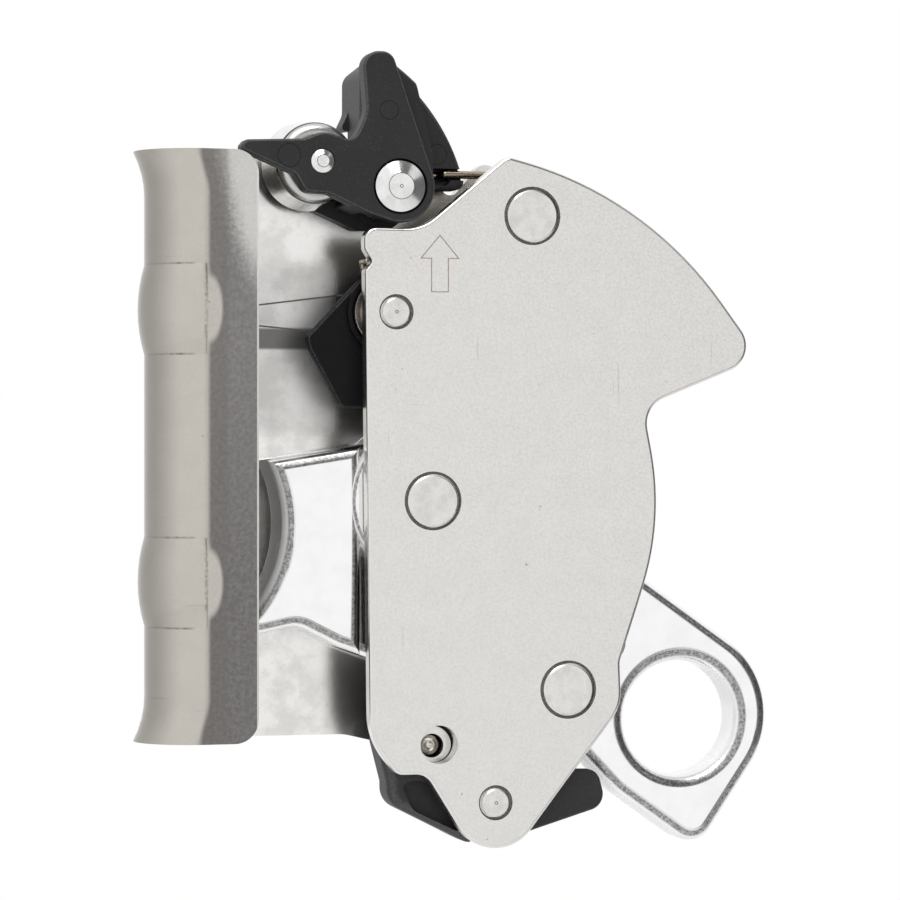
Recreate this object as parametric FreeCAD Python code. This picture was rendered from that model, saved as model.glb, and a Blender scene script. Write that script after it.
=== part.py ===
import FreeCAD, Part
import math
import os

# Rope grab (ascender) of stainless sheet: a C-shaped rope channel with a rear plate, a front
# plate riveted to it, and between the two a cam lever, a gate, a release rocker and a roller lever.
# Millimetres. +Z is up along the rope, +X runs from the rope to the connector eye and +Y is depth.
# The origin is on the axis of the rope channel, halfway up it.

V = FreeCAD.Vector
ALONG_Y = V(0, 1, 0)

# ---- driving sizes: sheet and channel ----
SHEET = 3.0                 # thickness of both plates
CHANNEL_BORE = 12.6         # inside width of the rope channel, and the gap between the plates
CHANNEL_TOP = 47.2
CHANNEL_BOTTOM = -47.3
FLANGE_WIDTH = 7.3          # front flange, from the channel's axis
FLANGE_CORNER = 3.9
BEAD_HEIGHT = 1.05          # the two pressed ring beads
BEAD_HALF = 7.2
BEAD_CENTRES = (21.85, -21.7)
BEAD_FADE = 9.0             # where a bead's height runs out on the rear plate
BEAD_CREASE = (0.06, 0.18)  # how deep the beads mark the rear plate, near the channel and further in
BEAD_CREASE_RUN = (11.0, 25.0)
FLARE = 1.8                 # how far the rope mouths open
FLARE_LENGTH = 7.2
EDGE_BREAK = 0.5            # rounding of the plates' outer edges

GAP_HALF = CHANNEL_BORE / 2
OUTER = GAP_HALF + SHEET

# ---- pivots and rivets (x, z) ----
CAM_PIVOT = (36.0, -8.8)
UPPER_RIVET = (52.7, 37.4)
STOP_RIVET = (58.8, -39.6)
GATE_PIVOT = (29.9, 21.6)
ROCKER_PIVOT = (46.5, -57.7)
LEVER_PIVOT = (30.6, 41.8)
ROLLER_AXIS = (17.8, 45.6)
DETENT = (36.7, -48.5)
DETENT_WINDOW = (37.0, -48.1)

LARGE_HEAD = 4.2            # radii of the large rivets
LARGE_SHANK = 2.6
SMALL_HEAD = 2.3            # radii of the small rivets
SMALL_SHANK = 1.9
HEAD_RING = 0.55            # groove round a head, and how deep the head sits
HEAD_PROUD = 0.35
CAM_SHOULDER = 5.0
BUSH_WALL = 1.4
SPACER_RADIUS = 3.6
DETENT_HOLE = 3.1

# ---- clearances ----
SEAT = 0.02                 # between pieces that are riveted or pressed together
RUNNING = 0.05              # radial, a pin in its bore
SIDE = 0.3                  # beside a moving piece
BOSS_SIDE = 0.2             # between the cam's boss and the plates
THROUGH = 20.0              # half length of a cut that goes through every layer


# ---- helpers ----
def point(x, z, y=0.0):
    return V(x, y, z)


def offset_corner(before, corner, after, radius):
    """Start, middle and end of the arc of this radius that rounds a corner."""
    a = (before - corner).normalize()
    b = (after - corner).normalize()
    half = a.getAngle(b) / 2
    reach = radius / math.tan(half)
    inward = (a + b).normalize()
    centre = corner + inward * (radius / math.sin(half))
    return corner + a * reach, centre - inward * radius, corner + b * reach


def outline(corners, y=0.0):
    """A closed wire in a plane of constant y through (x, z, rounding radius) corners."""
    points = [point(c[0], c[1], y) for c in corners]
    count = len(points)
    edges = []
    starts = []
    ends = []
    arcs = []
    for i in range(count):
        radius = corners[i][2]
        if radius > 0:
            first, middle, last = offset_corner(points[i - 1], points[i], points[(i + 1) % count], radius)
            arcs.append(Part.Arc(first, middle, last).toShape())
        else:
            first = last = points[i]
            arcs.append(None)
        starts.append(first)
        ends.append(last)
    for i in range(count):
        if arcs[i]:
            edges.append(arcs[i])
        following = starts[(i + 1) % count]
        if ends[i].distanceToPoint(following) > 1e-6:
            edges.append(Part.LineSegment(ends[i], following).toShape())
    return Part.Wire(edges)


def slab(corners, y0, y1):
    """A plate with this outline between two depths."""
    return Part.Face(outline(corners, y0)).extrude(V(0, y1 - y0, 0))


def disc(centre, radius, y0, y1):
    return Part.makeCylinder(radius, y1 - y0, point(centre[0], centre[1], y0), ALONG_Y)


def tube(centre, outer, inner, y0, y1):
    return disc(centre, outer, y0, y1).cut(disc(centre, inner, y0, y1))


def turned(centre, profile):
    """A turned piece: (radius, y) points spun about the line through centre along Y."""
    points = [point(centre[0] + r, centre[1], y) for r, y in profile]
    face = Part.Face(Part.makePolygon(points + points[:1]))
    return face.revolve(point(centre[0], centre[1]), ALONG_Y, 360)


def polar(centre, radius, degrees):
    turn = math.radians(degrees)
    return (centre[0] + radius * math.cos(turn), centre[1] + radius * math.sin(turn))


def rounded_rims(shape, radius, depths):
    """Round the outline edges that lie in the planes y = depths."""
    edges = []
    for edge in shape.Edges:
        box = edge.BoundBox
        if box.YLength < 1e-4 and any(abs(box.YMin - y) < 1e-4 for y in depths):
            edges.append(edge)
    return shape.makeFillet(radius, edges)


def wire_rod(points, diameter):
    """A bent wire along straight runs, with ball joints at its bends."""
    radius = diameter / 2
    solid = Part.makeSphere(radius, points[0])
    for a, b in zip(points, points[1:]):
        run = b - a
        solid = solid.fuse(Part.makeCylinder(radius, run.Length, a, run))
        solid = solid.fuse(Part.makeSphere(radius, b))
    return solid


def coil(centre, radius, diameter, y0, y1):
    """Close-wound wire about a line along Y: rings that press on each other between two depths."""
    room = y1 - y0 - diameter
    count = 1 + math.ceil(room / (0.94 * diameter))
    rings = []
    for i in range(count):
        depth = y0 + diameter / 2 + room * i / (count - 1)
        rings.append(Part.makeTorus(radius, diameter / 2, point(centre[0], centre[1], depth), ALONG_Y))
    return rings[0].multiFuse(rings[1:])


def rivet(centre, head, shank, shoulder, front=-OUTER, back=OUTER):
    """A shouldered rivet: heads let into both plates and a shoulder between them."""
    sink = HEAD_RING
    return turned(centre, [
        (0, front - HEAD_PROUD), (head - 0.25, front - HEAD_PROUD), (head, front - HEAD_PROUD + 0.25),
        (head, front + sink - SEAT), (shank, front + sink - SEAT), (shank, -GAP_HALF + SEAT),
        (shoulder, -GAP_HALF + SEAT), (shoulder, GAP_HALF - SEAT), (shank, GAP_HALF - SEAT),
        (shank, back - sink + SEAT), (head, back - sink + SEAT), (head, back + HEAD_PROUD - 0.25),
        (head - 0.25, back + HEAD_PROUD), (0, back + HEAD_PROUD)])


def rivet_hole(centre, head, shank, inner, outer):
    """The hole for a rivet in a plate, with a sunk ring round its head. outer is the head's side."""
    low = min(inner, outer)
    high = max(inner, outer)
    hole = disc(centre, shank + SEAT, low - 1, high + 1)
    if outer < inner:
        return hole.fuse(disc(centre, head + HEAD_RING, outer - 1, outer + HEAD_RING))
    return hole.fuse(disc(centre, head + HEAD_RING, outer - HEAD_RING, outer + 1))


# piece name: (centres, head, shank, shoulder)
RIVETS = {
    "plate_rivets": ((UPPER_RIVET, STOP_RIVET), LARGE_HEAD, LARGE_SHANK, LARGE_SHANK),
    "cam_pivot_rivet": ((CAM_PIVOT,), LARGE_HEAD, LARGE_SHANK, CAM_SHOULDER),
    "gate_rivet": ((GATE_PIVOT,), SMALL_HEAD, SMALL_SHANK, SMALL_SHANK + 0.8),
    "rocker_rivet": ((ROCKER_PIVOT,), SMALL_HEAD, SMALL_SHANK, SMALL_SHANK + 0.3),
}

# Outline that both plates share on the side away from the rope, clockwise from the top.
SHARED_EDGE = (
    (48.5, 47.0, 2.0), (72.4, 40.9, 61.0), (92.2, 14.7, 4.3), (71.8, 6.5, 4.5), (75.4, -12.0, 44.0),
    (67.7, -35.2, 3.0), (68.0, -42.5, 7.0), (46.1, -70.45, 7.4),
)


# ---- plates ----
def bead_lift(z):
    """How far the sheet is pressed out at height z by a ring bead."""
    arc = (BEAD_HALF ** 2 + BEAD_HEIGHT ** 2) / (2 * BEAD_HEIGHT)
    for centre in BEAD_CENTRES:
        away = abs(z - centre)
        if away < BEAD_HALF:
            return math.sqrt(arc ** 2 - away ** 2) - (arc - BEAD_HEIGHT)
    return 0.0


def mouth_flare(z):
    """How far the channel's back opens out at height z towards its rope mouths."""
    into = max(z - (CHANNEL_TOP - FLARE_LENGTH), CHANNEL_BOTTOM + FLARE_LENGTH - z, 0.0)
    return FLARE * (into / FLARE_LENGTH) ** 2


def channel_section(z):
    """The sheet's C-shaped section at height z, from the flange's edge to the rear plate."""
    lift = bead_lift(z)
    back = mouth_flare(z)
    front_fade = FLANGE_WIDTH - 1.0
    corners = []
    for reach in (OUTER, GAP_HALF):
        path = [V(FLANGE_WIDTH, -reach, z), V(front_fade, -reach, z), V(0, -reach - lift, z),
                V(-reach - lift - back, 0, z), V(0, reach + lift, z), V(BEAD_FADE, reach, z)]
        corners.append(path)
    edges = []
    for path in corners:
        edges.append([
            Part.LineSegment(path[0], path[1]).toShape(), Part.LineSegment(path[1], path[2]).toShape(),
            Part.Arc(path[2], path[3], path[4]).toShape(), Part.LineSegment(path[4], path[5]).toShape()])
    close_end = Part.LineSegment(corners[0][5], corners[1][5]).toShape()
    close_start = Part.LineSegment(corners[1][0], corners[0][0]).toShape()
    return Part.Wire(edges[0] + [close_end] + edges[1][::-1] + [close_start])


def channel_stretch(z0, z1, sections):
    """The formed sheet between two heights, lofted through evenly spaced sections."""
    steps = [z0 + (z1 - z0) * i / (sections - 1) for i in range(sections)]
    return Part.makeLoft([channel_section(z) for z in steps], True, False)


def bead_crease(centre):
    """The shallow hollow that a bead leaves across the rear plate's inner face."""
    arc = (BEAD_HALF ** 2 + BEAD_HEIGHT ** 2) / (2 * BEAD_HEIGHT)
    near, far = BEAD_CREASE_RUN
    start = V(near, GAP_HALF + BEAD_CREASE[0] - arc, centre)
    end = V(far, GAP_HALF + BEAD_CREASE[1] - arc, centre)
    along = (end - start).normalize()
    roll = Part.makeCylinder(arc, 45, start - along * (near - BEAD_FADE), along)
    layer = Part.makeBox(60, 2, 40, V(0, GAP_HALF - 1, centre - 20))
    return roll.common(layer)


def rear_body():
    upper = BEAD_CENTRES[0]
    lower = BEAD_CENTRES[1]
    straight = 2
    curved = 7
    stretches = (
        (CHANNEL_BOTTOM, CHANNEL_BOTTOM + FLARE_LENGTH, curved),
        (CHANNEL_BOTTOM + FLARE_LENGTH, lower - BEAD_HALF, straight),
        (lower - BEAD_HALF, lower + BEAD_HALF, curved),
        (lower + BEAD_HALF, upper - BEAD_HALF, straight),
        (upper - BEAD_HALF, upper + BEAD_HALF, curved),
        (upper + BEAD_HALF, CHANNEL_TOP - FLARE_LENGTH, straight),
        (CHANNEL_TOP - FLARE_LENGTH, CHANNEL_TOP, curved),
    )
    body = channel_stretch(*stretches[0])
    for stretch in stretches[1:]:
        body = body.fuse(channel_stretch(*stretch))
    plate = slab([(BEAD_FADE, CHANNEL_TOP, 0), (37.0, CHANNEL_TOP, 6.0), (43.2, 40.9, 1.5)]
                 + list(SHARED_EDGE)
                 + [(34.6, -53.6, 4.0), (31.3, -48.8, 6.0), (25.0, CHANNEL_BOTTOM, 8.0),
                    (BEAD_FADE, CHANNEL_BOTTOM, 0)],
                 GAP_HALF, OUTER)
    body = body.fuse(plate)
    for centre in BEAD_CENTRES:
        body = body.cut(bead_crease(centre))
    for z, turn in ((CHANNEL_TOP, 1), (CHANNEL_BOTTOM, -1)):
        inset = z - turn * FLANGE_CORNER
        corner = slab([(FLANGE_WIDTH - FLANGE_CORNER, inset, 0), (FLANGE_WIDTH + 1, inset, 0),
                       (FLANGE_WIDTH + 1, z + turn, 0), (FLANGE_WIDTH - FLANGE_CORNER, z + turn, 0)],
                      -OUTER - 1, 0)
        keep = disc((FLANGE_WIDTH - FLANGE_CORNER, inset), FLANGE_CORNER, -OUTER - 1, 0)
        body = body.cut(corner.cut(keep))
    for centres, head, shank, shoulder in RIVETS.values():
        for centre in centres:
            body = body.cut(rivet_hole(centre, head, shank, GAP_HALF, OUTER))
    body = body.cut(rivet_hole(LEVER_PIVOT, LEVER_PIN_HEAD, LEVER_PIN, GAP_HALF, OUTER))
    return body.removeSplitter()


def front_plate():
    plate = slab([(24.6, 35.15, 2.0), (34.2, 35.05, 8.0)] + list(SHARED_EDGE)
                 + [(34.9, -52.9, 3.0), (30.2, -52.9, 2.0), (25.6, -47.3, 12.0),
                    (24.75, 28.2, 0.8), (25.9, 29.7, 0.7), (24.7, 31.6, 0.8)],
                 -OUTER, -GAP_HALF)
    plate = rounded_rims(plate, EDGE_BREAK, (-OUTER, -GAP_HALF))
    for centres, head, shank, shoulder in RIVETS.values():
        for centre in centres:
            plate = plate.cut(rivet_hole(centre, head, shank, -GAP_HALF, -OUTER))
    return plate.cut(disc(DETENT_WINDOW, DETENT_HOLE, -OUTER - 1, -GAP_HALF + 1))


# ---- cam lever ----
CAM_ARM_HALF = 4.2          # half thicknesses of the arm, the nose pad and the pivot boss
CAM_PAD_HALF = 5.8
CAM_BOSS_HALF = GAP_HALF - BOSS_SIDE
CAM_BOSS = 12.9
CAM_ROUND = 2.0             # rounding of the forging's edges
PAD_END = 25.1              # where the nose pad steps down to the arm
JAW_CENTRE = (-9.35, -12.4) # the nose's hollow rope face, between its two horns
JAW = 21.6
JAW_GROOVE = 1.5
EYE = (79.9, -45.0)
EYE_BORE = 19.0
EYE_ROUND = 2.35
CAM_SPRING_WIRE = 1.2
CAM_SPRING_RADIUS = 9.0
CAM_SPRING_POCKET = 3.2     # depth of its pocket in the boss
CAM_SWING = 15.0

CAM_OUTLINE = (
    (-4.0, -4.5, 0), (39.5, 2.4, 10.0), (100.9, -40.9, 14.8), (83.0, -67.1, 4.3), (68.6, -56.9, 12.0),
    (61.5, -49.4, 2.0), (54.4, -46.2, 3.0), (47.5, -37.6, 8.0), (31.0, -35.9, 9.0), (21.0, -32.2, 6.0),
    (14.5, -28.9, 4.0), (8.4, -30.2, 3.0), (4.2, -29.8, 2.2), (3.4, -24.0, 0), (-4.0, -24.0, 0),
)


def jaw_cut():
    """Room for the rope in front of the nose: a hollow face with rounded rims and a rope groove."""
    edge = JAW + CAM_ROUND
    lip = CAM_PAD_HALF - CAM_ROUND
    slope = CAM_ROUND * math.sin(math.radians(45))
    far = CAM_PAD_HALF + 2
    run = [
        Part.LineSegment(V(0, -far, 0), V(edge, -far, 0)).toShape(),
        Part.LineSegment(V(edge, -far, 0), V(edge, -CAM_PAD_HALF, 0)).toShape(),
        Part.Arc(V(edge, -CAM_PAD_HALF, 0), V(edge - slope, -lip - slope, 0), V(JAW, -lip, 0)).toShape(),
        Part.Arc(V(JAW, -lip, 0), V(JAW + JAW_GROOVE, 0, 0), V(JAW, lip, 0)).toShape(),
        Part.Arc(V(JAW, lip, 0), V(edge - slope, lip + slope, 0), V(edge, CAM_PAD_HALF, 0)).toShape(),
        Part.LineSegment(V(edge, CAM_PAD_HALF, 0), V(edge, far, 0)).toShape(),
        Part.LineSegment(V(edge, far, 0), V(0, far, 0)).toShape(),
        Part.LineSegment(V(0, far, 0), V(0, -far, 0)).toShape(),
    ]
    cut = Part.Face(Part.Wire(run)).revolve(V(0, 0, 0), ALONG_Y, 360)
    cut.translate(point(*JAW_CENTRE))
    return cut


def eye_cut():
    """The connector hole, rounded out to both faces."""
    bore = EYE_BORE / 2
    slope = EYE_ROUND * math.sin(math.radians(45))
    straight = CAM_ARM_HALF - EYE_ROUND
    wide = bore + EYE_ROUND
    edges = [
        Part.LineSegment(V(0, -CAM_ARM_HALF - 1, 0), V(wide, -CAM_ARM_HALF - 1, 0)).toShape(),
        Part.LineSegment(V(wide, -CAM_ARM_HALF - 1, 0), V(wide, -CAM_ARM_HALF, 0)).toShape(),
        Part.Arc(V(wide, -CAM_ARM_HALF, 0), V(wide - slope, -straight - slope, 0),
                 V(bore, -straight, 0)).toShape(),
        Part.LineSegment(V(bore, -straight, 0), V(bore, straight, 0)).toShape(),
        Part.Arc(V(bore, straight, 0), V(wide - slope, straight + slope, 0),
                 V(wide, CAM_ARM_HALF, 0)).toShape(),
        Part.LineSegment(V(wide, CAM_ARM_HALF, 0), V(wide, CAM_ARM_HALF + 1, 0)).toShape(),
        Part.LineSegment(V(wide, CAM_ARM_HALF + 1, 0), V(0, CAM_ARM_HALF + 1, 0)).toShape(),
        Part.LineSegment(V(0, CAM_ARM_HALF + 1, 0), V(0, -CAM_ARM_HALF - 1, 0)).toShape(),
    ]
    cut = Part.Face(Part.Wire(edges)).revolve(V(0, 0, 0), ALONG_Y, 360)
    cut.translate(point(*EYE))
    return cut


def cam_lever():
    arm = slab(CAM_OUTLINE, -CAM_ARM_HALF, CAM_ARM_HALF)
    arm = rounded_rims(arm, CAM_ROUND, (-CAM_ARM_HALF, CAM_ARM_HALF))
    pad = slab(CAM_OUTLINE, -CAM_PAD_HALF, CAM_PAD_HALF)
    window = slab([(-10, 10, 0), (PAD_END, 10, 0), (PAD_END, -45, 0), (-10, -45, 0)],
                  -CAM_PAD_HALF, CAM_PAD_HALF)
    pad = rounded_rims(pad.common(window), CAM_ROUND, (-CAM_PAD_HALF, CAM_PAD_HALF))
    boss = rounded_rims(disc(CAM_PIVOT, CAM_BOSS, -CAM_BOSS_HALF, CAM_BOSS_HALF), 1.0,
                        (-CAM_BOSS_HALF, CAM_BOSS_HALF))
    lever = arm.fuse(pad).fuse(boss)
    lever = lever.cut(jaw_cut())
    lever = lever.cut(eye_cut())
    lever = lever.cut(disc(CAM_PIVOT, CAM_SHOULDER + RUNNING + BUSH_WALL + SEAT, -THROUGH, THROUGH))
    lever = lever.cut(stop_slot())
    pocket = tube(CAM_PIVOT, CAM_SPRING_RADIUS + 1.2, CAM_SPRING_RADIUS - 1.2,
                  CAM_BOSS_HALF - CAM_SPRING_POCKET, CAM_BOSS_HALF + 1)
    return lever.cut(pocket)


def stop_slot():
    """The curved slot in which the stop spacer ends the lever's swing both ways."""
    reach = math.dist(CAM_PIVOT, STOP_RIVET)
    start = math.degrees(math.atan2(STOP_RIVET[1] - CAM_PIVOT[1], STOP_RIVET[0] - CAM_PIVOT[0]))
    half = SPACER_RADIUS + SIDE
    swing = CAM_SWING + 1.0
    sector = slab([(CAM_PIVOT[0], CAM_PIVOT[1], 0), polar(CAM_PIVOT, 2 * reach, start) + (0,),
                   polar(CAM_PIVOT, 2 * reach, start + swing) + (0,)], -THROUGH, THROUGH)
    slot = tube(CAM_PIVOT, reach + half, reach - half, -THROUGH, THROUGH).common(sector)
    slot = slot.fuse(disc(STOP_RIVET, half, -THROUGH, THROUGH))
    return slot.fuse(disc(polar(CAM_PIVOT, reach, start + swing), half, -THROUGH, THROUGH))


def cam_bush():
    return tube(CAM_PIVOT, CAM_SHOULDER + RUNNING + BUSH_WALL, CAM_SHOULDER + RUNNING,
                -CAM_BOSS_HALF, CAM_BOSS_HALF)


def cam_spring():
    return coil(CAM_PIVOT, CAM_SPRING_RADIUS, CAM_SPRING_WIRE, CAM_BOSS_HALF - CAM_SPRING_POCKET + SEAT,
                CAM_BOSS_HALF - SEAT)


# ---- roller lever ----
CHEEK = 3.3                 # thickness of the front cheek, whose face is flush with the plate's
CHEEK_BACK = -OUTER + CHEEK
LEVER_PIN = 3.0             # radii of the lever's pin
LEVER_PIN_HEAD = 4.1
LEVER_PIN_FLAT = 2.1        # radius of the flat in the middle of its bevelled head
LEVER_PIN_BEVEL = 0.8
LEVER_PIN_RING = 0.4        # ring left open round the head, and how deep the head sits
LEVER_PIN_SINK = 2.2
CHEEK_ROUND = 0.5
REAR_CHEEK_FRONT = 3.9
ROLLER_RADIUS = 7.3         # the roller's band at its back and at its front
ROLLER_TAPER = 6.6
ROLLER_SHOULDER = 6.4       # the rounded front shoulder, beyond a narrow groove
ROLLER_ROUND = 1.3
ROLLER_GROOVE = 0.3
ROLLER_FACE = 4.6           # inside this radius the front face is sunk
ROLLER_FRONT = CHEEK_BACK + SIDE
ROLLER_BACK = REAR_CHEEK_FRONT - SIDE
AXLE = 2.0
AXLE_FLAT = 1.0
AXLE_BEVEL = 0.5

CHEEK_OUTLINE = (
    (4.1, 47.4, 0.7), (5.3, 48.8, 0.8), (14.7, 49.15, 1.0), (17.95, 50.45, 4.0), (22.9, 48.85, 2.0),
    (25.1, 53.6, 6.0), (24.25, 63.5, 2.6), (29.25, 63.45, 2.2), (39.85, 32.8, 5.8), (25.2, 37.45, 2.0),
    (18.8, 40.45, 1.2), (15.0, 40.6, 1.5), (13.3, 43.5, 1.0),
)
REAR_CHEEK_OUTLINE = (
    (12.6, 45.6, 1.5), (15.5, 49.6, 2.5), (21.9, 50.4, 0.8), (23.4, 49.2, 0.5), (26.4, 51.0, 1.5),
    (29.0, 50.8, 1.5), (36.4, 45.0, 4.0), (34.0, 35.6, 4.0), (26.5, 35.4, 1.5), (19.6, 38.4, 2.5),
    (14.0, 41.0, 2.0),
)


def roller_lever():
    cheek = slab(CHEEK_OUTLINE, -OUTER, CHEEK_BACK)
    cheek = rounded_rims(cheek, CHEEK_ROUND, (-OUTER,))
    rear = slab(REAR_CHEEK_OUTLINE, REAR_CHEEK_FRONT, GAP_HALF - SIDE)
    web = slab([(22.7, 38.9, 0.3), (23.4, 40.0, 0.3), (24.9, 39.9, 0.3), (25.7, 37.5, 0.3)],
               CHEEK_BACK - 0.5, REAR_CHEEK_FRONT + 0.5)
    lever = cheek.fuse(rear).fuse(web)
    lever = lever.cut(disc(LEVER_PIVOT, LEVER_PIN + RUNNING, -THROUGH, THROUGH))
    lever = lever.cut(disc(LEVER_PIVOT, LEVER_PIN_HEAD + LEVER_PIN_RING, -THROUGH, -OUTER + LEVER_PIN_SINK))
    return lever.cut(disc(ROLLER_AXIS, AXLE + SEAT, -THROUGH, THROUGH))


def lever_pivot_pin():
    seat = -OUTER + LEVER_PIN_SINK - 0.05
    face = -OUTER - 0.7
    return turned(LEVER_PIVOT, [
        (0, face), (LEVER_PIN_FLAT, face), (LEVER_PIN_HEAD, face + LEVER_PIN_BEVEL), (LEVER_PIN_HEAD, seat),
        (LEVER_PIN, seat), (LEVER_PIN, OUTER - HEAD_RING + SEAT),
        (LEVER_PIN_HEAD, OUTER - HEAD_RING + SEAT), (LEVER_PIN_HEAD, OUTER + HEAD_PROUD),
        (0, OUTER + HEAD_PROUD)])


def rope_roller():
    inner = AXLE + RUNNING
    start = ROLLER_SHOULDER - ROLLER_ROUND
    slope = ROLLER_ROUND * math.sin(math.radians(45))
    neck = ROLLER_FRONT + ROLLER_ROUND
    band = neck + ROLLER_GROOVE
    shoulder = Part.Arc(V(start, ROLLER_FRONT, 0), V(start + slope, neck - slope, 0),
                        V(ROLLER_SHOULDER, neck, 0))
    path = [V(ROLLER_SHOULDER, neck, 0), V(ROLLER_SHOULDER - ROLLER_GROOVE, neck, 0),
            V(ROLLER_SHOULDER - ROLLER_GROOVE, band, 0), V(ROLLER_TAPER, band, 0),
            V(ROLLER_RADIUS, ROLLER_BACK - 0.4, 0), V(ROLLER_RADIUS - 0.4, ROLLER_BACK, 0),
            V(inner, ROLLER_BACK, 0), V(inner, ROLLER_FRONT + 0.5, 0), V(ROLLER_FACE, ROLLER_FRONT + 0.5, 0),
            V(ROLLER_FACE, ROLLER_FRONT, 0), V(start, ROLLER_FRONT, 0)]
    edges = [shoulder.toShape()] + [Part.LineSegment(a, b).toShape() for a, b in zip(path, path[1:])]
    roller = Part.Face(Part.Wire(edges)).revolve(V(0, 0, 0), ALONG_Y, 360)
    roller.translate(point(*ROLLER_AXIS))
    return roller


def roller_axle():
    face = -OUTER - 0.3
    back = GAP_HALF - SIDE
    return turned(ROLLER_AXIS, [
        (0, face), (AXLE_FLAT, face), (AXLE, face + AXLE_BEVEL), (AXLE, back), (0, back)])


# ---- safety catch ----
CATCH_FRONT = CHEEK_BACK + SIDE
CATCH_BACK = 3.4
CATCH_TAB_FRONT = 2.4       # the finger tab's deep part
CATCH_TAB_BACK = 7.2
CATCH_FAN_FRONT = -1.5
CATCH_ROUND = 0.6
CATCH_COIL_FRONT = 0.3      # behind this depth the hub gives way to the spring's coil
CATCH_SPRING_WIRE = 1.3
CATCH_SPRING_RADIUS = 4.2
CATCH_SPRING_LEG = 44.45    # height of the leg's straight end, which lies in the fan's groove
CATCH_SPRING_BEND = 37.5      # where the leg straightens on its way out
CATCH_SPRING_DEPTH = CATCH_FAN_FRONT + CATCH_SPRING_WIRE / 2
CATCH_LEG_OUT = 41.2        # where the leg has come forward to the fan's face
CATCH_GROOVE_STEP = 0.9     # how much the groove widens below the leg's bend

CATCH_OUTLINE = (
    (24.8, 50.5, 3.0), (24.8, 60.3, 2.5), (28.6, 63.3, 1.5), (39.5, 55.15, 32.4), (43.9, 42.0, 1.3),
    (36.0, 41.8, 3.0), (30.9, 35.6, 4.8), (25.6, 40.2, 3.0), (25.7, 46.5, 3.0),
)
CATCH_TAB = (
    (23.3, 51.3, 0.65), (24.8, 54.4, 3.0), (24.8, 60.3, 2.5), (28.6, 63.3, 1.5), (30.2, 61.6, 1.0),
    (29.4, 52.9, 1.0), (27.0, 51.9, 2.0),
)


def spring_groove():
    """Room in the catch for the spring's coil, and for its leg, which comes forward to the fan's face."""
    room = CATCH_SPRING_WIRE / 2 + SIDE
    low = CATCH_SPRING_LEG - room
    high = CATCH_SPRING_LEG + room
    well = disc(LEVER_PIVOT, CATCH_SPRING_RADIUS + room, CATCH_COIL_FRONT, CATCH_BACK + 1)
    inner_depth = CATCH_COIL_FRONT + CATCH_SPRING_WIRE + 2 * SIDE
    tunnel = slab([(30.0, 41.0, 0), (CATCH_LEG_OUT, low, 0), (CATCH_LEG_OUT, high, 0), (30.0, 47.4, 0)],
                  CATCH_COIL_FRONT, inner_depth)
    top = LEVER_PIVOT[1] + CATCH_SPRING_RADIUS
    leg = slab([(LEVER_PIVOT[0], top - room, 0), (CATCH_SPRING_BEND, low, 0), (CATCH_LEG_OUT, low, 0),
                (CATCH_LEG_OUT, high, 0), (CATCH_SPRING_BEND, high, 0), (LEVER_PIVOT[0], top + room, 0)],
               CATCH_COIL_FRONT, inner_depth)
    step = low - CATCH_GROOVE_STEP
    groove = slab([(CATCH_SPRING_BEND, step, 0), (40.4, step, 0.5), (CATCH_LEG_OUT, low, 0), (50.0, low, 0),
                   (50.0, high, 0), (CATCH_SPRING_BEND, high, 0)], CATCH_FAN_FRONT - 1, CATCH_COIL_FRONT)
    return well.fuse(tunnel.fuse(leg).removeSplitter()).fuse(groove)


def safety_catch():
    fan = slab(CATCH_OUTLINE, CATCH_FAN_FRONT, CATCH_BACK)
    fan = rounded_rims(fan, CATCH_ROUND, (CATCH_FAN_FRONT, CATCH_BACK))
    block = slab(CATCH_OUTLINE, CATCH_FRONT, CATCH_BACK - CATCH_ROUND)
    block = rounded_rims(block, CATCH_ROUND, (CATCH_FRONT,))
    beside = slab([(31.5, 70, 0), (60, 70, 0), (60, 30, 0), (37.0, 30, 0), (37.0, 47.0, 0)],
                  CATCH_FRONT - 1, CATCH_BACK)
    tab = slab(CATCH_TAB, CATCH_TAB_FRONT, CATCH_TAB_BACK)
    tab = rounded_rims(tab, CATCH_ROUND, (CATCH_TAB_BACK,))
    catch = fan.fuse(block.cut(beside)).fuse(tab)
    catch = catch.cut(spring_groove())
    return catch.cut(disc(LEVER_PIVOT, LEVER_PIN + RUNNING, -THROUGH, THROUGH))


def catch_spring():
    start = CATCH_COIL_FRONT + 0.15
    wound = coil(LEVER_PIVOT, CATCH_SPRING_RADIUS, CATCH_SPRING_WIRE, start, CATCH_BACK + 0.2)
    inner = start + CATCH_SPRING_WIRE / 2
    bends = ((LEVER_PIVOT[0], LEVER_PIVOT[1] + CATCH_SPRING_RADIUS, inner),
             (CATCH_SPRING_BEND, CATCH_SPRING_LEG, inner),
             (39.6, CATCH_SPRING_LEG, inner), (40.3, CATCH_SPRING_LEG, CATCH_SPRING_DEPTH),
             (47.3, CATCH_SPRING_LEG, CATCH_SPRING_DEPTH))
    return wound.fuse(wire_rod([point(*bend) for bend in bends], CATCH_SPRING_WIRE))


# ---- rope gate ----
GATE_FRONT = -3.2
GATE_BACK = -0.8            # the blade is thin, its hub is not
GATE_HUB = 5.0
GATE_HUB_BACK = 3.2
GATE_COLLAR = 0.7           # wall and height of the collar round the washer
GATE_COLLAR_HEIGHT = 1.2
GATE_SHOULDER = SMALL_SHANK + 0.8
GATE_WASHER = 5.8
GATE_WASHER_THICK = 0.8
GATE_SPRING_WIRE = 0.8
GATE_SPRING_RADIUS = 4.0
GATE_SPRING_HOOK = (25.0, 29.7)

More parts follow.
